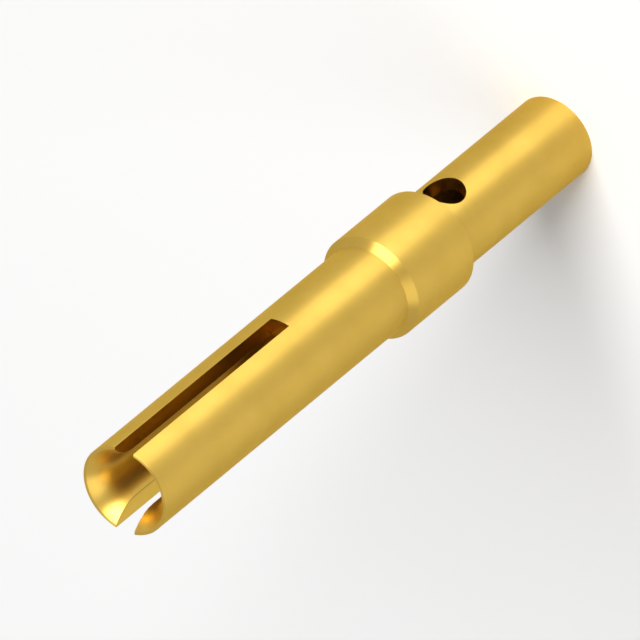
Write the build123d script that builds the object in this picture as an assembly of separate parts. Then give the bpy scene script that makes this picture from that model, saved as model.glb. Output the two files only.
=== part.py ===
from build123d import *
import math
import os

# Crimp socket contact, turned from one bar. It stands on its crimp end with its axis on Z and
# its mouth up. The origin is the centre of the crimp end's face. Sizes are in millimetres.

# Socket end: a bore for the mating pin, in a barrel that one saw cut splits into two spring tines
pin_bore = 2.50
tine_wall = 0.75
socket_length = 16.65
slot_width = 0.88
slot_length = 10.70
bore_past_slots = 1.80

# Bell mouth: an arc, tangent to the bore, that opens it to a thin flat rim and guides the pin in
bell_radius = 1.69
rim_width = 0.13

# Collar that holds the contact in its insert: a sloping shoulder in front, a square step behind
collar_rise = 0.325
collar_length = 4.15
shoulder_angle = 45

# Crimp end: a bore for the stripped wire, with a hole in one wall through which the wire shows
wire_bore = 2.50
crimp_wall = 0.59
crimp_length = 9.00
wire_lead_in = 0.15
hole_diameter = 1.75
hole_behind_collar = 1.30
bore_past_hole = 0.125

# Both bores are drilled blind and end in the cone that the drill leaves
drill_point_angle = 118

# Radii and heights that follow from the sizes above
pin_radius = pin_bore / 2
socket_radius = pin_radius + tine_wall
collar_radius = socket_radius + collar_rise
wire_radius = wire_bore / 2
crimp_radius = wire_radius + crimp_wall

step_height = crimp_length
shoulder_foot = step_height + collar_length
shoulder_top = shoulder_foot - collar_rise / math.tan(math.radians(shoulder_angle))
mouth_height = shoulder_foot + socket_length

hole_height = step_height - hole_behind_collar
wire_bore_end = hole_height + hole_diameter / 2 + bore_past_hole
pin_bore_end = mouth_height - slot_length - bore_past_slots

rim_radius = socket_radius - rim_width
bell_flare = rim_radius - pin_radius
bell_depth = math.sqrt(bell_radius**2 - (bell_radius - bell_flare) ** 2)


def drill_cone_length(radius):
    """Length of the cone that the drill leaves beyond a blind bore of this radius."""
    return radius / math.tan(math.radians(drill_point_angle / 2))


def turned_blank():
    """The bar as it comes off the lathe: its half section, swept once round the axis."""
    wire_tip = wire_bore_end + drill_cone_length(wire_radius)
    pin_tip = pin_bore_end - drill_cone_length(pin_radius)
    bell_start = (pin_radius, mouth_height - bell_depth)
    bell_end = (rim_radius, mouth_height)
    with BuildSketch(Plane.XZ) as half_section:
        with BuildLine():
            Polyline(
                bell_start,
                (pin_radius, pin_bore_end),
                (0, pin_tip),
                (0, wire_tip),
                (wire_radius, wire_bore_end),
                (wire_radius, wire_lead_in),
                (wire_radius + wire_lead_in, 0),
                (crimp_radius, 0),
                (crimp_radius, step_height),
                (collar_radius, step_height),
                (collar_radius, shoulder_top),
                (socket_radius, shoulder_foot),
                (socket_radius, mouth_height),
                bell_end,
            )
            TangentArc(bell_start, bell_end, tangent=(0, 1))
        make_face()
    return revolve(half_section.sketch, Axis.Z)


def tine_slots():
    """The saw cut across the socket end, which leaves one slot toward -Y and one toward +Y."""
    cut = Box(slot_width, 2 * collar_radius, slot_length, align=(Align.CENTER, Align.CENTER, Align.MAX))
    return Pos(0, 0, mouth_height) * cut


def inspection_hole():
    """The drill's path through the wall toward -Y, from outside to the axis of the wire bore."""
    drill = Cylinder(hole_diameter / 2, 2 * crimp_radius, align=(Align.CENTER, Align.CENTER, Align.MIN))
    return Pos(0, 0, hole_height) * Rot(X=90) * drill


def contact():
    """The whole contact, one piece."""
    return turned_blank() - tine_slots() - inspection_hole()


os.makedirs("parts", exist_ok=True)
export_step(contact(), "parts/contact.step")
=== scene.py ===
"""Looks of a crimp socket contact: one turned, bored, slotted and gold-plated piece on a pale floor.

Lengths are metres and angles are radians unless a name says otherwise. The contact stands on its
crimp end with its axis on Z, as its frame does.
"""

import logging
import math
from dataclasses import dataclass
from enum import Enum
from typing import Callable

import bmesh
import bpy
from mathutils import Matrix, Vector


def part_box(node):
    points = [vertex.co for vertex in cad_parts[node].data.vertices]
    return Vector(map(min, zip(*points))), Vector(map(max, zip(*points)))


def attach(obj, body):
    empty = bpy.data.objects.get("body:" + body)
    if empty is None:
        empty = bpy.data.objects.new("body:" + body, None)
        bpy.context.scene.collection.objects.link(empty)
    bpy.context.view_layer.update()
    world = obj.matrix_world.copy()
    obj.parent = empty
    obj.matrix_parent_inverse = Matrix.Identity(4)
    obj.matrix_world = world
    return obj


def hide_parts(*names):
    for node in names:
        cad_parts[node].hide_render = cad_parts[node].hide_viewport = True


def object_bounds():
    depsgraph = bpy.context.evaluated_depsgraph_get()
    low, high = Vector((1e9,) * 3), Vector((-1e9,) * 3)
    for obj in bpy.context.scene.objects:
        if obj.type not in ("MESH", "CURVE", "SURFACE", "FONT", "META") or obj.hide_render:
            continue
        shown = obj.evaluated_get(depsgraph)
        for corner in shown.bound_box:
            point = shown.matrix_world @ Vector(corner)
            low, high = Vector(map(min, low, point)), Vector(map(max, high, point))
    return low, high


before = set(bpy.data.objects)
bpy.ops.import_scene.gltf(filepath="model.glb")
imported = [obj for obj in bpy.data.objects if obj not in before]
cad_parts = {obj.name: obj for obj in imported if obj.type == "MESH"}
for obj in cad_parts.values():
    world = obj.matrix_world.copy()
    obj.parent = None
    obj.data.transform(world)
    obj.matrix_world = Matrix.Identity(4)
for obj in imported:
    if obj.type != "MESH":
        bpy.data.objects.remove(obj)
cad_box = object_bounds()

log = logging.getLogger("contact")

MM = 0.001
NODE = "contact"
BODY = "root"
HAIR = 1e-6  # a thousandth of a millimetre, the slack when a point's place is tested
SAME_POINT = 1e-7  # points closer than this are one
SMOOTH_BELOW = math.radians(32)  # edges that turn less than this are shaded smooth
SHARP_ABOVE = math.radians(35)  # edges that turn more than this are real edges of the slots
ACROSS_RINGS = 0.25  # a quarter turn from the tangent, as the shader counts turns

Point = tuple[float, float]
Colour = tuple[float, float, float]
Socket = bpy.types.NodeSocket


def lies_at(point: Vector, target: float, axis: int) -> bool:
    """Whether a point lies at a target along one axis."""
    return abs(point[axis] - target) < 2 * HAIR


class Mesher:
    """Adds and edits one mesh object with the operators that are used by hand."""

    def __init__(self, name: str) -> None:
        """Starts an object of this name as a single point at the origin.

        Args:
            name: the object's name in the scene.
        """
        Mesher.deselect()
        bpy.ops.mesh.primitive_plane_add(size=MM)
        self.thing = bpy.context.active_object
        self.thing.name = name
        self.thing.data.name = name
        bpy.ops.object.mode_set(mode="EDIT")
        bpy.ops.mesh.select_mode(type="VERT")
        bpy.ops.mesh.select_all(action="SELECT")
        bpy.ops.mesh.merge(type="CENTER")

    @staticmethod
    def deselect() -> None:
        """Leaves every object unselected, outside edit mode."""
        if bpy.context.mode != "OBJECT":
            bpy.ops.object.mode_set(mode="OBJECT")
        bpy.ops.object.select_all(action="DESELECT")

    def draw(self, outline: list[Point]) -> None:
        """Moves the point to the outline's start and extrudes it from point to point.

        Args:
            outline: radius and height of each point, in the X-Z half plane.
        """
        here = Vector((0, 0, 0))
        for index, (radius, height) in enumerate(outline):
            step = Vector((radius, 0, height)) - here
            if index:
                bpy.ops.mesh.extrude_region_move(TRANSFORM_OT_translate={"value": step})
            else:
                bpy.ops.transform.translate(value=step)
            here += step

    def spin(self, turn: float, steps: int) -> None:
        """Sweeps the whole outline round the Z axis.

        Args:
            turn: how far it is swept.
            steps: how many faces the sweep has.
        """
        bpy.ops.mesh.select_all(action="SELECT")
        bpy.ops.mesh.spin(steps=steps, angle=turn, center=(0, 0, 0), axis=(0, 0, 1))
        bpy.ops.mesh.select_all(action="SELECT")
        bpy.ops.mesh.remove_doubles(threshold=SAME_POINT)
        bpy.ops.mesh.normals_make_consistent(inside=False)

    def pick(self, mode: str, test: Callable[[object], bool]) -> int:
        """Selects the parts of the mesh that pass a test, and nothing else.

        Args:
            mode: VERT, EDGE or FACE.
            test: says whether a part is wanted.

        Returns:
            How many were selected.
        """
        bpy.ops.mesh.select_mode(type=mode)
        bpy.ops.mesh.select_all(action="DESELECT")
        mesh = bmesh.from_edit_mesh(self.thing.data)
        parts = {"VERT": mesh.verts, "EDGE": mesh.edges, "FACE": mesh.faces}[mode]
        found = [part for part in parts if test(part)]
        for part in found:
            part.select_set(True)
        mesh.select_flush_mode()
        bmesh.update_edit_mesh(self.thing.data)
        return len(found)

    def cut(self, other: bpy.types.Object) -> None:
        """Takes another closed object's space out of this one, and deletes the other."""
        bpy.ops.object.mode_set(mode="OBJECT")
        bpy.context.view_layer.objects.active = self.thing
        boolean = self.thing.modifiers.new("cut", "BOOLEAN")
        boolean.operation = "DIFFERENCE"
        boolean.solver = "EXACT"
        boolean.object = other
        bpy.ops.object.modifier_apply(modifier=boolean.name)
        bpy.data.objects.remove(other)

    def done(self) -> bpy.types.Object:
        """Leaves edit mode and returns the object."""
        Mesher.deselect()
        return self.thing


class Graph:
    """A node tree that grows by one node a call, each fed from sockets or plain numbers."""

    def __init__(self, owner: bpy.types.Material | bpy.types.World) -> None:
        """Turns on the nodes of a material or a world, and takes them over."""
        owner.use_nodes = True
        self.nodes = owner.node_tree.nodes
        self.links = owner.node_tree.links

    def node(self, kind: str, **settings: object) -> bpy.types.Node:
        """Adds a node.

        Args:
            kind: its type.
            settings: its properties.

        Returns:
            The new node.
        """
        node = self.nodes.new(kind)
        for name, value in settings.items():
            setattr(node, name, value)
        return node

    def feed(self, socket: Socket, value: Socket | float | tuple) -> None:
        """Links a socket to the output that feeds it, or sets it to a plain value."""
        if isinstance(value, bpy.types.NodeSocket):
            self.links.new(value, socket)
        else:
            socket.default_value = value

    def math(self, operation: str, *values: Socket | float) -> Socket:
        """Adds a Math node.

        Args:
            operation: what it works out, by the node's own name for it.
            values: what goes in.

        Returns:
            The result.
        """
        node = self.node("ShaderNodeMath", operation=operation)
        for socket, value in zip(node.inputs, values):
            self.feed(socket, value)
        return node.outputs[0]

    def spread(self, value: Socket, before: tuple[float, float], after: tuple[float, float]) -> Socket:
        """Maps a value from one range to another, and holds it at the ends.

        Args:
            value: what goes in.
            before: the range that it comes in.
            after: the range that it leaves in.

        Returns:
            The mapped value.
        """
        node = self.node("ShaderNodeMapRange")
        for socket, number in zip(node.inputs, (value, *before, *after)):
            self.feed(socket, number)
        return node.outputs[0]

    def axes(self, vector: Socket) -> tuple[Socket, Socket, Socket]:
        """Splits a vector into its X, Y and Z."""
        node = self.node("ShaderNodeSeparateXYZ")
        self.feed(node.inputs[0], vector)
        return tuple(node.outputs)

    def noise(self, scale: float, detail: float, **place: Socket) -> Socket:
        """Adds noise.

        Args:
            scale: patches to the unit.
            detail: finer layers.
            place: W for noise along a line, or Vector for noise in space.

        Returns:
            The noise, from 0 to 1.
        """
        node = self.node("ShaderNodeTexNoise", noise_dimensions="1D" if "W" in place else "3D")
        node.inputs["Scale"].default_value = scale
        node.inputs["Detail"].default_value = detail
        for name, socket in place.items():
            self.feed(node.inputs[name], socket)
        return node.outputs["Fac"]


@dataclass(frozen=True)
class Corner:
    """One corner of the turned outline, with the small radius that the tool and the plating leave."""

    radius: float
    height: float
    rounding: float = 0.0

    def arc(self, before: "Corner", after: "Corner", steps: int) -> list[Point]:
        """Points of the rounded corner.

        Args:
            before: the corner that the outline comes from.
            after: the corner that it goes to.
            steps: faces across the rounding.

        Returns:
            The corner itself if it is sharp, or else the points of its arc.
        """
        here = Vector((self.radius, self.height))
        if not self.rounding:
            return [tuple(here)]
        back = (Vector((before.radius, before.height)) - here).normalized()
        ahead = (Vector((after.radius, after.height)) - here).normalized()
        half = back.angle(ahead) / 2
        centre = here + (back + ahead).normalized() * self.rounding / math.sin(half)
        start = here + back * self.rounding / math.tan(half) - centre
        end = here + ahead * self.rounding / math.tan(half) - centre
        full = start.angle(end)
        points = []
        for step in range(steps + 1):
            share = full * step / steps
            blend = start * math.sin(full - share) + end * math.sin(share)
            points.append(tuple(centre + blend / math.sin(full)))
        return points


class Marks(Enum):
    """Which way the cutting tool's marks run over a surface."""

    ROUND_AXIS = "rings round the contact's axis"
    ALONG_SLOT = "lines along the slot"
    ROUND_HOLE = "rings round the inspection hole"


@dataclass(frozen=True)
class GoldPlate:
    """Gold plate over the marks that one kind of cut leaves in the copper alloy under it.

    Fine rings round the axis stretch reflections along it, which stretch tells from 0 for none to 1.
    """

    name: str
    marks: Marks
    spacing: float = 0.05 * MM
    depth: float = 0.0006 * MM
    bump: float = 0.35
    colour: Colour = (0.66, 0.44, 0.09)
    deep_colour: Colour = (0.62, 0.41, 0.08)
    edge_colour: Colour = (0.85, 0.70, 0.40)
    roughness: float = 0.22
    roughness_spread: float = 0.04
    patch: float = 1.6 * MM
    stretch: float = 0.0

    def material(self) -> bpy.types.Material:
        """Makes the material from nodes that read Object coordinates.

        Returns:
            The finished material.
        """
        material = bpy.data.materials.new(self.name)
        graph = Graph(material)
        shader = graph.nodes["Principled BSDF"].inputs
        shader["Metallic"].default_value = 1.0
        shader["Specular Tint"].default_value = (*self.edge_colour, 1)
        place = graph.node("ShaderNodeTexCoord").outputs["Object"]
        x, y, z = graph.axes(place)
        if self.marks is Marks.ROUND_AXIS:
            radius = graph.math("SQRT", graph.math("MULTIPLY_ADD", x, x, graph.math("MULTIPLY", y, y)))
            across = graph.math("ADD", z, radius)
        else:
            across = y
        marks = graph.noise(1.0, 3.0, W=graph.math("DIVIDE", across, self.spacing))
        cloud = graph.noise(1 / self.patch, 5.0, Vector=place)

        tone = graph.node("ShaderNodeMix", data_type="RGBA")
        graph.feed(tone.inputs["A"], (*self.deep_colour, 1))
        graph.feed(tone.inputs["B"], (*self.colour, 1))
        graph.feed(tone.inputs["Factor"], graph.spread(cloud, (0.35, 0.65), (0, 1)))
        graph.feed(shader["Base Color"], tone.outputs["Result"])

        both = graph.math("MULTIPLY", graph.math("ADD", marks, cloud), 0.5)
        half = self.roughness_spread / 2
        ends = (self.roughness - half, self.roughness + half)
        graph.feed(shader["Roughness"], graph.spread(both, (0.3, 0.7), ends))

        if self.marks is Marks.ROUND_AXIS:
            along_rings = graph.node("ShaderNodeTangent", direction_type="RADIAL", axis="Z")
            graph.feed(shader["Tangent"], along_rings.outputs[0])
            shader["Anisotropic"].default_value = self.stretch
            shader["Anisotropic Rotation"].default_value = ACROSS_RINGS

        bump = graph.node("ShaderNodeBump")
        bump.inputs["Strength"].default_value = self.bump
        bump.inputs["Distance"].default_value = self.depth
        graph.feed(bump.inputs["Height"], marks)
        graph.feed(shader["Normal"], bump.outputs["Normal"])
        return material


@dataclass
class Contact:
    """The contact, one turned piece: its sizes, its mesh and its finishes."""

    pin_radius: float = 1.25 * MM
    socket_radius: float = 2.0 * MM
    socket_length: float = 16.65 * MM
    slot_width: float = 0.88 * MM
    slot_length: float = 10.70 * MM
    bore_past_slots: float = 1.80 * MM
    bell_radius: float = 1.69 * MM
    rim_width: float = 0.13 * MM
    collar_rise: float = 0.325 * MM
    wire_radius: float = 1.25 * MM
    crimp_radius: float = 1.84 * MM
    crimp_length: float = 9.0 * MM
    wire_lead_in: float = 0.15 * MM
    hole_radius: float = 0.875 * MM
    hole_behind_collar: float = 1.30 * MM
    bore_past_hole: float = 0.125 * MM
    drill_half_angle: float = math.radians(59)
    edge_rounding: float = 0.03 * MM
    slot_edge: float = 0.012 * MM
    support: float = 0.15 * MM
    columns: int = 180
    rounding_steps: int = 3
    hole_sides: int = 128
    turned: GoldPlate = GoldPlate("turned_gold", Marks.ROUND_AXIS, roughness=0.42, stretch=0.9)
    bored: GoldPlate = GoldPlate(
        "bored_gold", Marks.ROUND_AXIS, spacing=0.08 * MM, roughness=0.36, stretch=0.6
    )
    sawn: GoldPlate = GoldPlate("sawn_gold", Marks.ALONG_SLOT, spacing=0.04 * MM)
    drilled: GoldPlate = GoldPlate("drilled_gold", Marks.ROUND_HOLE, spacing=0.06 * MM)

    def __post_init__(self) -> None:
        """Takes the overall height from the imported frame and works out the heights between."""
        low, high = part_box(NODE)
        self.mouth = high.z
        self.collar_radius = high.x
        self.shoulder_foot = self.mouth - self.socket_length
        self.shoulder_top = self.shoulder_foot - self.collar_rise
        self.slot_end = self.mouth - self.slot_length
        self.pin_bore_end = self.slot_end - self.bore_past_slots
        self.hole_height = self.crimp_length - self.hole_behind_collar
        self.wire_bore_end = self.hole_height + self.hole_radius + self.bore_past_hole
        self.rim_radius = self.socket_radius - self.rim_width
        flare = self.rim_radius - self.pin_radius
        self.bell_depth = math.sqrt(self.bell_radius**2 - (self.bell_radius - flare) ** 2)

    def bell_point(self, radius: float) -> Point:
        """Point of the bell mouth's arc at this radius."""
        across = self.pin_radius + self.bell_radius - radius
        rise = math.sqrt(self.bell_radius**2 - across**2)
        return radius, self.mouth - self.bell_depth + rise

    def bell(self) -> list[Corner]:
        """Corners down the bell mouth, where the saw's planes cross the mesh's columns and halfway between.

        Returns:
            The arc's corners, from the rim inwards.
        """
        column = 2 * math.pi / self.columns
        half_slot = self.slot_width / 2
        corners = []
        step = column / 2
        angle = math.asin(half_slot / self.rim_radius)
        last = math.asin(half_slot / self.pin_radius)
        angle = math.ceil(angle / step + 0.3) * step
        while angle < last:
            corners.append(Corner(*self.bell_point(half_slot / math.sin(angle))))
            angle += step
        return corners

    def outline(self) -> list[Point]:
        """The turned outline, from the tip of the wire bore round the outside to the tip of the pin bore.

        Returns:
            Radius and height of each point.
        """
        wire_tip = self.wire_bore_end + self.wire_radius / math.tan(self.drill_half_angle)
        pin_tip = self.pin_bore_end - self.pin_radius / math.tan(self.drill_half_angle)
        below_hole = self.hole_height - self.hole_radius - self.support
        soft = self.edge_rounding
        corners = [
            Corner(0, wire_tip),
            Corner(self.wire_radius, self.wire_bore_end),
            Corner(self.wire_radius, below_hole),
            Corner(self.wire_radius, self.wire_lead_in, soft),
            Corner(self.wire_radius + self.wire_lead_in, 0, soft),
            Corner(self.crimp_radius, 0, soft),
            Corner(self.crimp_radius, below_hole),
            Corner(self.crimp_radius, self.wire_bore_end),
            Corner(self.crimp_radius, self.crimp_length),
            Corner(self.collar_radius, self.crimp_length, soft),
            Corner(self.collar_radius, self.shoulder_top, soft),
            Corner(self.socket_radius, self.shoulder_foot),
            Corner(self.socket_radius, self.slot_end - self.support),
            Corner(self.socket_radius, self.slot_end),
            Corner(self.socket_radius, self.mouth, soft / 2),
            Corner(self.rim_radius, self.mouth, soft / 2),
            *self.bell(),
            Corner(self.pin_radius, self.mouth - self.bell_depth),
            Corner(self.pin_radius, self.slot_end),
            Corner(self.pin_radius, self.slot_end - self.support),
            Corner(self.pin_radius, self.pin_bore_end),
            Corner(0, pin_tip),
        ]
        points = []
        for before, here, after in zip([corners[0], *corners], corners, [*corners[1:], corners[-1]]):
            points.extend(here.arc(before, after, self.rounding_steps))
        return points

    def saw_slots(self, mesher: Mesher) -> None:
        """Cuts both slots: the saw's two planes are marked on the tines, and what lies between goes.

        Args:
            mesher: the blank, in edit mode.
        """
        half = self.slot_width / 2
        floor = self.slot_end - HAIR
        # Only the tines are marked, so the planes leave the barrel below the slots whole
        for side in (half, -half):
            mesher.pick("FACE", lambda face: all(v.co.z > floor for v in face.verts))
            bpy.ops.mesh.bisect(plane_co=(side, 0, 0), plane_no=(1, 0, 0), threshold=SAME_POINT)
        mesher.pick(
            "FACE",
            lambda face: abs(face.calc_center_median().x) < half and all(v.co.z > floor for v in face.verts),
        )
        bpy.ops.mesh.delete(type="FACE")
        for front in (-1, 1):
            for side in (half, -half):
                self.close_wall(mesher, side, front)
            self.close_end(mesher, front)

    def close_wall(self, mesher: Mesher, side: float, front: int) -> None:
        """Fills one flat wall of a slot, between the barrel's outside and its bore.

        The wall's foot is joined first, so that its outline is closed when the wall is filled.

        Args:
            mesher: the slotted blank.
            side: the wall's place along X.
            front: -1 for the slot toward -Y, 1 for the other.
        """
        mesher.pick(
            "VERT",
            lambda v: lies_at(v.co, side, 0) and lies_at(v.co, self.slot_end, 2) and v.co.y * front > 0,
        )
        bpy.ops.mesh.edge_face_add()
        mesher.pick(
            "VERT",
            lambda v: lies_at(v.co, side, 0) and v.co.z > self.slot_end - HAIR and v.co.y * front > 0,
        )
        bpy.ops.mesh.edge_face_add()

    def close_end(self, mesher: Mesher, front: int) -> None:
        """Fills the flat end of one slot."""
        reach = self.slot_width / 2 + HAIR
        mesher.pick(
            "VERT",
            lambda v: abs(v.co.x) < reach and lies_at(v.co, self.slot_end, 2) and v.co.y * front > 0,
        )
        bpy.ops.mesh.edge_face_add()

    def break_slot_edges(self, mesher: Mesher) -> None:
        """Rounds the slots' outer and inner edges as the tumbling before the plating does."""
        half = self.slot_width / 2

        def on_border(edge: object) -> bool:
            """Whether an edge lies where a slot's wall or end meets the barrel or its bore."""
            a, b = (v.co for v in edge.verts)
            if min(a.z, b.z) < self.slot_end - HAIR or edge.calc_face_angle(0) < SHARP_ABOVE:
                return False
            along_wall = any(lies_at(a, side, 0) and lies_at(b, side, 0) for side in (half, -half))
            at_end = lies_at(a, self.slot_end, 2) and lies_at(b, self.slot_end, 2)
            if at_end:
                return not along_wall and max(abs(a.x), abs(b.x)) < half + HAIR
            return along_wall

        count = mesher.pick("EDGE", on_border)
        log.info("slot edges to round: %d", count)
        bpy.ops.mesh.bevel(
            offset=self.slot_edge, segments=2, affect="EDGES", clamp_overlap=True, loop_slide=True
        )

    def drill_hole(self, mesher: Mesher) -> None:
        """Drills the inspection hole through the wall toward -Y."""
        Mesher.deselect()
        depth = 2 * self.crimp_radius
        bpy.ops.mesh.primitive_cylinder_add(
            vertices=self.hole_sides,
            radius=self.hole_radius,
            depth=depth,
            location=(0, -depth / 2, self.hole_height),
            rotation=(math.radians(90), 0, 0),
        )
        drill = bpy.context.active_object
        bpy.ops.object.transform_apply(location=True, rotation=True, scale=True)
        mesher.cut(drill)

    def finish_of(self, face: bpy.types.MeshPolygon) -> GoldPlate:
        """Which cut made a face.

        Args:
            face: a face of the finished mesh.

        Returns:
            The finish of that cut.
        """
        centre = face.center
        radius = math.hypot(centre.x, centre.y)
        half = self.slot_width / 2
        in_slot = centre.z > self.slot_end - HAIR and abs(centre.x) < half + HAIR
        if in_slot:
            return self.sawn
        to_hole = math.hypot(centre.x, centre.z - self.hole_height)
        if centre.y < 0 and to_hole < self.hole_radius + HAIR and radius > self.wire_radius:
            return self.drilled
        in_bell = centre.z > self.mouth - self.bell_depth - HAIR and radius < self.rim_radius - 10 * HAIR
        in_bore = radius < max(self.pin_radius, self.wire_radius) + HAIR and centre.z > HAIR
        if in_bell or in_bore:
            return self.bored
        return self.turned

    def build(self) -> bpy.types.Object:
        """Models the contact and dresses it.

        Returns:
            The finished piece.
        """
        mesher = Mesher("contact_gold")
        mesher.draw(self.outline())
        mesher.spin(2 * math.pi, self.columns)
        self.saw_slots(mesher)
        self.break_slot_edges(mesher)
        self.drill_hole(mesher)
        piece = mesher.done()
        piece.select_set(True)
        bpy.context.view_layer.objects.active = piece
        bpy.ops.object.shade_smooth_by_angle(angle=SMOOTH_BELOW)
        weighted = piece.modifiers.new("weighted_normals", "WEIGHTED_NORMAL")
        weighted.keep_sharp = True
        bpy.ops.object.modifier_apply(modifier=weighted.name)
        self.dress(piece)
        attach(piece, BODY)
        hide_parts(NODE)
        return piece

    def dress(self, piece: bpy.types.Object) -> None:
        """Gives each face the finish of the cut that made it."""
        finishes = [self.turned, self.bored, self.sawn, self.drilled]
        for finish in finishes:
            piece.data.materials.append(finish.material())
        for face in piece.data.polygons:
            face.material_index = finishes.index(self.finish_of(face))


@dataclass(frozen=True)
class Softbox:
    """A square softbox that faces the contact."""

    name: str
    left_of_camera_deg: float
    elevation_deg: float
    watts: float
    side: float = 0.8
    distance: float = 1.0

    def hang(self, flat: Vector) -> None:
        """Hangs the softbox.

        Args:
            flat: the level direction from the contact to it.
        """
        light = bpy.data.lights.new(self.name, "AREA")
        light.shape = "SQUARE"
        light.size = self.side
        light.energy = self.watts
        lamp = bpy.data.objects.new(self.name, light)
        bpy.context.scene.collection.objects.link(lamp)
        rise = math.radians(self.elevation_deg)
        back = flat * math.cos(rise) + Vector((0, 0, math.sin(rise)))
        lamp.location = back * self.distance
        lamp.rotation_mode = "QUATERNION"
        lamp.rotation_quaternion = (-back).to_track_quat("-Z", "Y")


@dataclass
class Studio:
    """The floor, world, softboxes and camera."""

    camera_azimuth_deg: float = -39.8
    camera_elevation_deg: float = 41.83
    axis_on_picture_deg: float = 219.48
    pixel: float = 0.03984 * MM
    picture_side: int = 640
    middle_on_picture: Point = (340.9, 311.8)
    lens_mm: float = 1600.0
    sensor_mm: float = 36.0
    floor_side: float = 4.0
    floor_colour: Colour = (0.96, 0.96, 0.96)
    world_light: float = 0.25
    background: float = 0.8
    softboxes: tuple[Softbox, ...] = (
        Softbox("key", left_of_camera_deg=35, elevation_deg=32, watts=15),
        Softbox("fill", left_of_camera_deg=-60, elevation_deg=35, watts=2.4),
    )

    def around(self, azimuth_deg: float) -> Vector:
        """Flat direction at this azimuth, where 0 is toward -Y and angles grow toward +X."""
        angle = math.radians(azimuth_deg)
        return Vector((math.sin(angle), -math.cos(angle), 0))

    def make_floor(self) -> None:
        """Lays the pale floor just under the contact."""
        Mesher.deselect()
        bpy.ops.mesh.primitive_plane_add(size=self.floor_side, location=(0, 0, -HAIR))
        floor = bpy.context.active_object
        floor.name = "floor"
        bpy.ops.object.transform_apply(location=True)
        material = bpy.data.materials.new("pale_floor")
        material.use_nodes = True
        shader = material.node_tree.nodes["Principled BSDF"]
        shader.inputs["Base Color"].default_value = (*self.floor_colour, 1)
        shader.inputs["Roughness"].default_value = 1.0
        shader.inputs["Specular IOR Level"].default_value = 0.0
        floor.data.materials.append(material)

    def make_world(self) -> None:
        """Lights the scene evenly, with one pale background that the camera and the metal see alike."""
        world = bpy.data.worlds.new("studio")
        bpy.context.scene.world = world
        graph = Graph(world)
        path = graph.node("ShaderNodeLightPath").outputs
        seen = graph.math("MAXIMUM", path["Is Camera Ray"], path["Is Glossy Ray"])
        seen = graph.math("MAXIMUM", seen, path["Is Transmission Ray"])
        shade = graph.nodes["Background"].inputs
        shade["Color"].default_value = (1, 1, 1, 1)
        graph.feed(shade["Strength"], graph.spread(seen, (0, 1), (self.world_light, self.background)))

    def make_camera(self, middle: Vector) -> None:
        """Sets the camera at the photograph's angle, far off behind a long lens.

        Args:
            middle: the contact's middle, which has its place on the picture.
        """
        rise = math.radians(self.camera_elevation_deg)
        flat = self.around(self.camera_azimuth_deg)
        back = flat * math.cos(rise) + Vector((0, 0, math.sin(rise)))
        sideways = Vector((0, 0, 1)).cross(flat)
        upright = back.cross(sideways)
        turn = math.radians(self.axis_on_picture_deg)
        right = math.cos(turn) * upright + math.sin(turn) * sideways
        up = math.sin(turn) * upright - math.cos(turn) * sideways
        centre = (self.picture_side - 1) / 2
        off_right = (self.middle_on_picture[0] - centre) * self.pixel
        off_up = (centre - self.middle_on_picture[1]) * self.pixel
        aim = middle - right * off_right - up * off_up
        distance = self.picture_side * self.pixel * self.lens_mm / self.sensor_mm
        data = bpy.data.cameras.new("camera")
        data.lens = self.lens_mm
        data.sensor_width = self.sensor_mm
        data.clip_start = distance / 10
        data.clip_end = distance * 10
        camera = bpy.data.objects.new("camera", data)
        bpy.context.scene.collection.objects.link(camera)
        camera.rotation_mode = "QUATERNION"
        turned = Matrix((right, up, back)).transposed()
        camera.rotation_quaternion = turned.to_quaternion()
        camera.location = aim + back * distance
        bpy.context.scene.camera = camera

    def build(self) -> None:
        """Sets up the whole studio."""
        low, high = cad_box
        self.make_floor()
        self.make_world()
        for softbox in self.softboxes:
            softbox.hang(self.around(self.camera_azimuth_deg + softbox.left_of_camera_deg))
        self.make_camera((low + high) / 2)


def main() -> None:
    """Builds the contact and its studio."""
    logging.basicConfig(level=logging.INFO, format="%(message)s")
    bpy.context.scene.view_settings.view_transform = "Standard"
    piece = Contact().build()
    log.info("built %s with %d faces", piece.name, len(piece.data.polygons))
    Studio().build()


if __name__ == "__main__":
    main()
